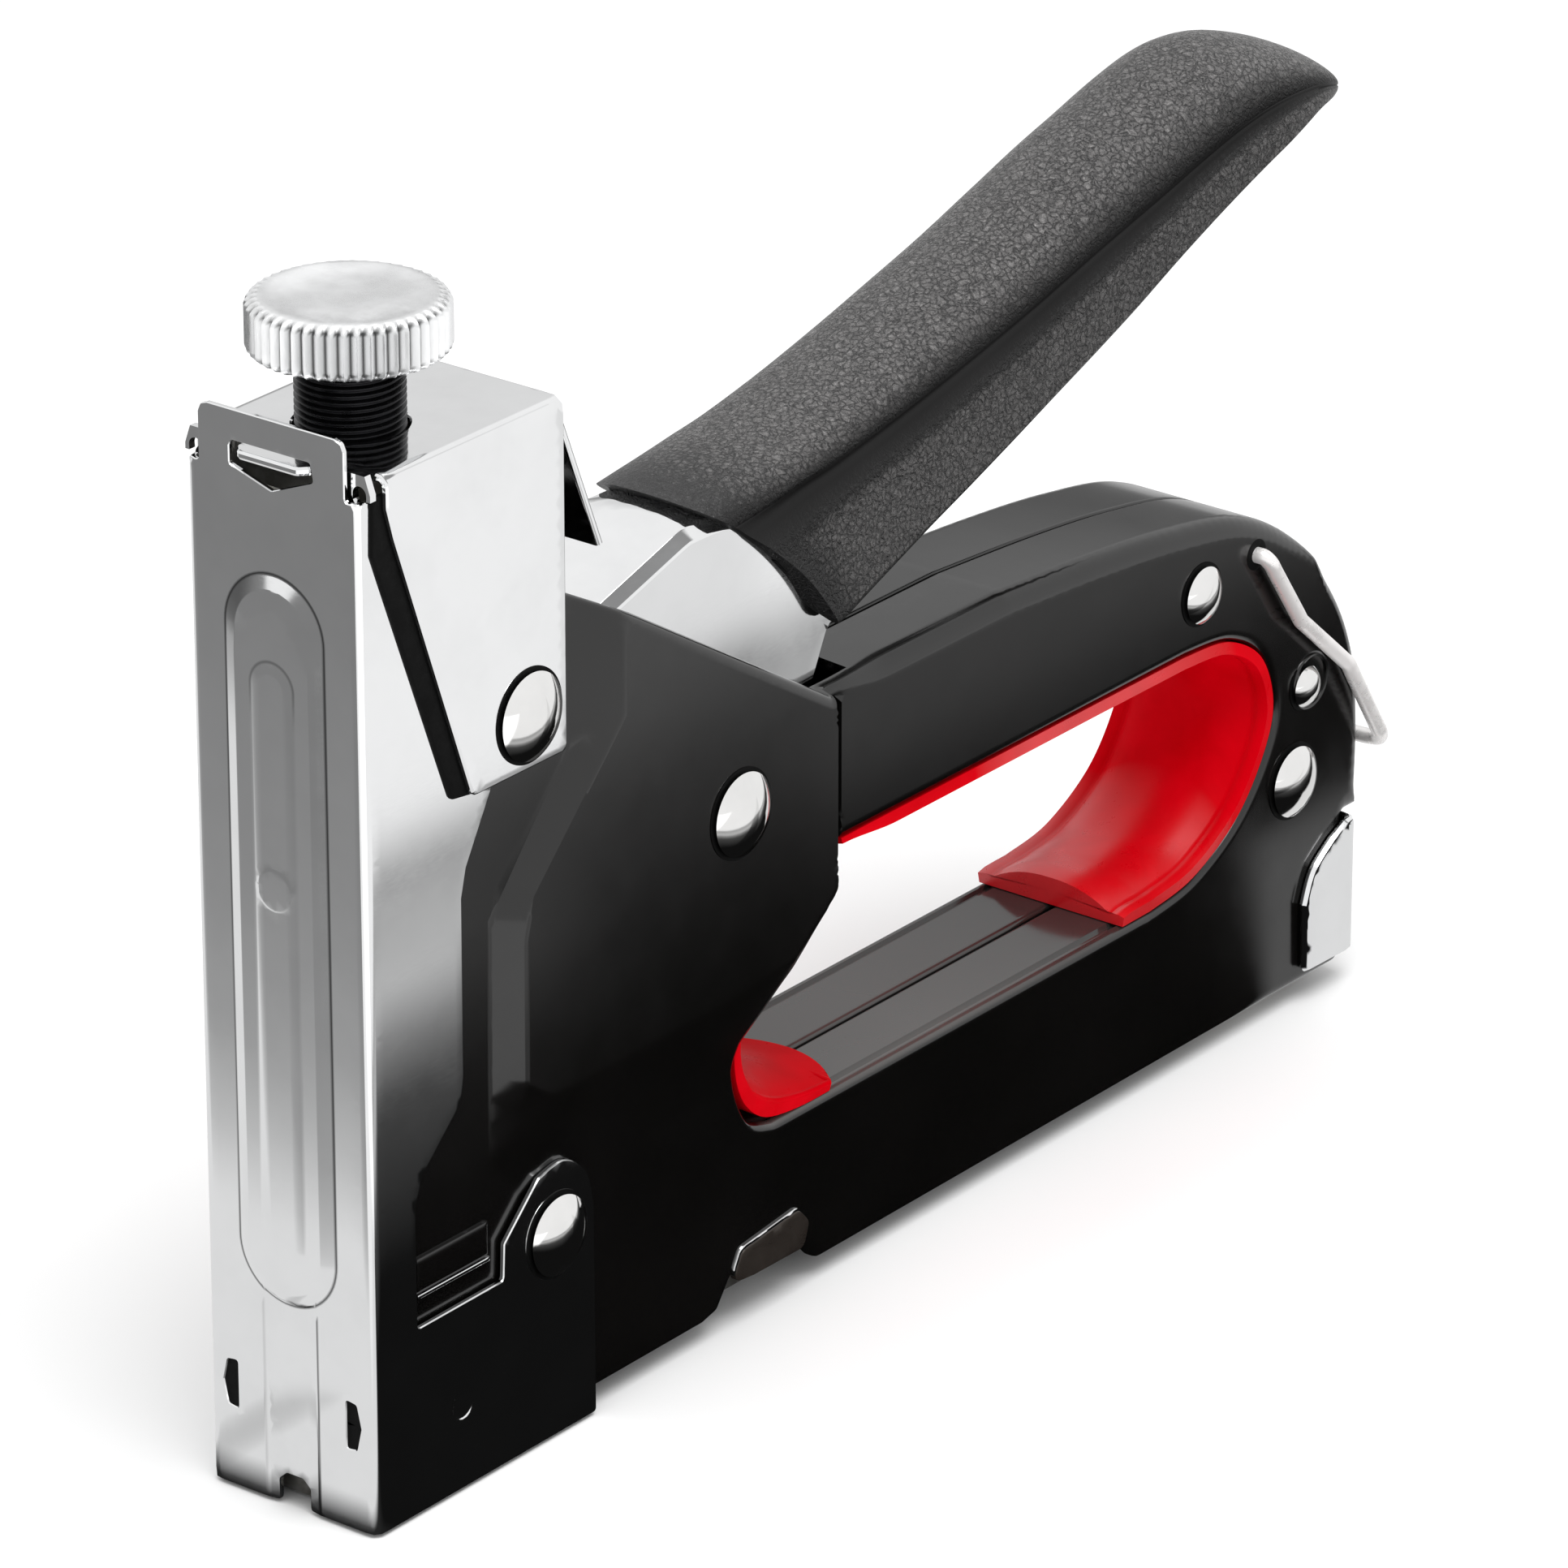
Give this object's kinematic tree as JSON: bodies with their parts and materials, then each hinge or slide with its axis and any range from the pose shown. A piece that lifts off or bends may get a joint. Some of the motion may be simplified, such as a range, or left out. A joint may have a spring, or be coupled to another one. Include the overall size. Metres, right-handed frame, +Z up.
{
  "type": "staple gun",
  "caption": "Hand staple gun: sheet-steel body with a finger hole, squeeze lever with rubber grip, spring-driven striker, force knob, pull-out magazine and handle lock.",
  "frame": {"origin": "on the working face of the nose, the flat underside of the nose block, on the mid-plane, 6 mm behind the front face of the nose cover", "axes": "+X from the nose to the rear, +Y to the left side of the tool, +Z up through the force knob; the staple leaves along -Z"},
  "size_m": [0.1872, 0.0302, 0.1336],
  "materials": {
    "body_paint": "semi-gloss black enamel on pressed steel",
    "chrome_plate": "bright chrome plate on sheet steel",
    "knob_metal": "bright plated knob with a knurled rim",
    "rivet_steel": "polished domed head",
    "wire_steel": "bright drawn wire",
    "dark_steel": "black oxide",
    "zinc_steel": "zinc plated",
    "red_plastic": "smooth moulded red",
    "grip_rubber": "moulded with a leather grain",
    "bumper_rubber": "plain"
  },
  "bodies": {
    "body": {"right_shell": "body_paint", "left_shell": "body_paint", "nose_cover": "chrome_plate", "driver_guide": "chrome_plate", "nose_block": "zinc_steel", "stop_bumper": "bumper_rubber", "top_cap": "chrome_plate", "adjuster_nut": "zinc_steel", "pivot_bush": "zinc_steel", "grip_liner": "red_plastic", "front_liner": "red_plastic", "magazine_channel": "zinc_steel", "cap_rivet": "rivet_steel", "pivot_rivet": "rivet_steel", "nose_rivet": "rivet_steel", "rear_upper_rivet": "rivet_steel", "rear_lower_rivet": "rivet_steel", "rear_small_rivet": "rivet_steel", "upper_spacer": "zinc_steel", "lower_spacer": "zinc_steel"},
    "lever": {"lever_channel": "chrome_plate", "handle_grip": "grip_rubber", "lift_roller": "zinc_steel", "roller_pin": "dark_steel", "return_spring": "dark_steel"},
    "striker": {"striker_block": "zinc_steel", "driver_blade": "zinc_steel", "main_spring": "dark_steel"},
    "seat": {"spring_seat": "zinc_steel"},
    "knob": {"adjuster_knob": "knob_metal", "adjuster_screw": "dark_steel"},
    "magazine": {"staple_rail": "zinc_steel", "guide_rod": "zinc_steel", "rear_catch": "chrome_plate"},
    "pusher": {"pusher": "zinc_steel", "pusher_spring": "dark_steel"},
    "bail": {"lock_bail": "wire_steel"}
  },
  "joints": [
    {"name": "lever_pivot", "type": "hinge", "parent": "body", "child": "lever", "pos_m": [0.0544, 0, 0.0627], "axis": [0, 1, 0], "range_deg": [0, 16], "stiffness_Nm_per_rad": 1.5, "springref_deg": -22.92, "deforming": ["return_spring"]},
    {"name": "striker_stroke", "type": "slide", "parent": "body", "child": "striker", "axis": [0, 0, 1], "range_m": [0, 0.0145], "deforming": ["main_spring"]},
    {"name": "force_travel", "type": "slide", "parent": "body", "child": "seat", "axis": [0, 0, -1], "range_m": [0, 0.006]},
    {"name": "knob_turn", "type": "hinge", "parent": "seat", "child": "knob", "pos_m": [0.0066, 0, 0.13], "axis": [0, 0, -1], "range_deg": [0, 1442]},
    {"name": "magazine_slide", "type": "slide", "parent": "body", "child": "magazine", "axis": [1, 0, 0], "range_m": [0, 0.11]},
    {"name": "pusher_slide", "type": "slide", "parent": "magazine", "child": "pusher", "axis": [1, 0, 0], "range_m": [0, 0.1], "stiffness_N_per_m": 20, "springref_m": -0.1, "deforming": ["pusher_spring"]},
    {"name": "bail_swing", "type": "hinge", "parent": "body", "child": "bail", "pos_m": [0.1535, 0, 0.06], "axis": [0, -1, 0], "range_deg": [0, 95]}
  ],
  "couplings": [
    {"joint": "striker_stroke", "follows": "lever_pivot", "m_per_rad": 0.0493},
    {"joint": "knob_turn", "follows": "force_travel", "rad_per_m": 4188.8}
  ]
}
